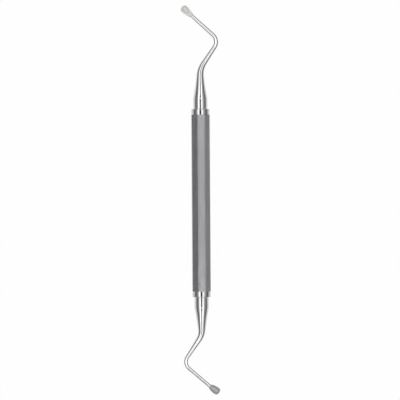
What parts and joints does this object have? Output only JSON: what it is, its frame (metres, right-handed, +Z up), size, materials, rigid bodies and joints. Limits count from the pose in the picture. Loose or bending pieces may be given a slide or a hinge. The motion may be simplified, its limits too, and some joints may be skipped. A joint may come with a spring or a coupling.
{
  "type": "bone curette",
  "caption": "Double-ended hand curette: knurled eight-sided handle, twice-bent thin shanks and a spoon-shaped cutting cup at each end.",
  "frame": {"origin": "middle of the whole object's footprint, on the surface it lies on", "axes": "+Y along the handle, towards the upper tip of the picture; +X towards that tip's first bend, as the picture's right; +Z up from the surface, towards the picture's camera"},
  "size_m": [0.017, 0.1752, 0.0082],
  "materials": {
    "handle_steel": "satin knurling with polished collars",
    "tip_steel": "mirror polished"
  },
  "bodies": {
    "root": {"handle": "handle_steel", "upper_tip": "tip_steel", "lower_tip": "tip_steel"}
  },
  "joints": []
}
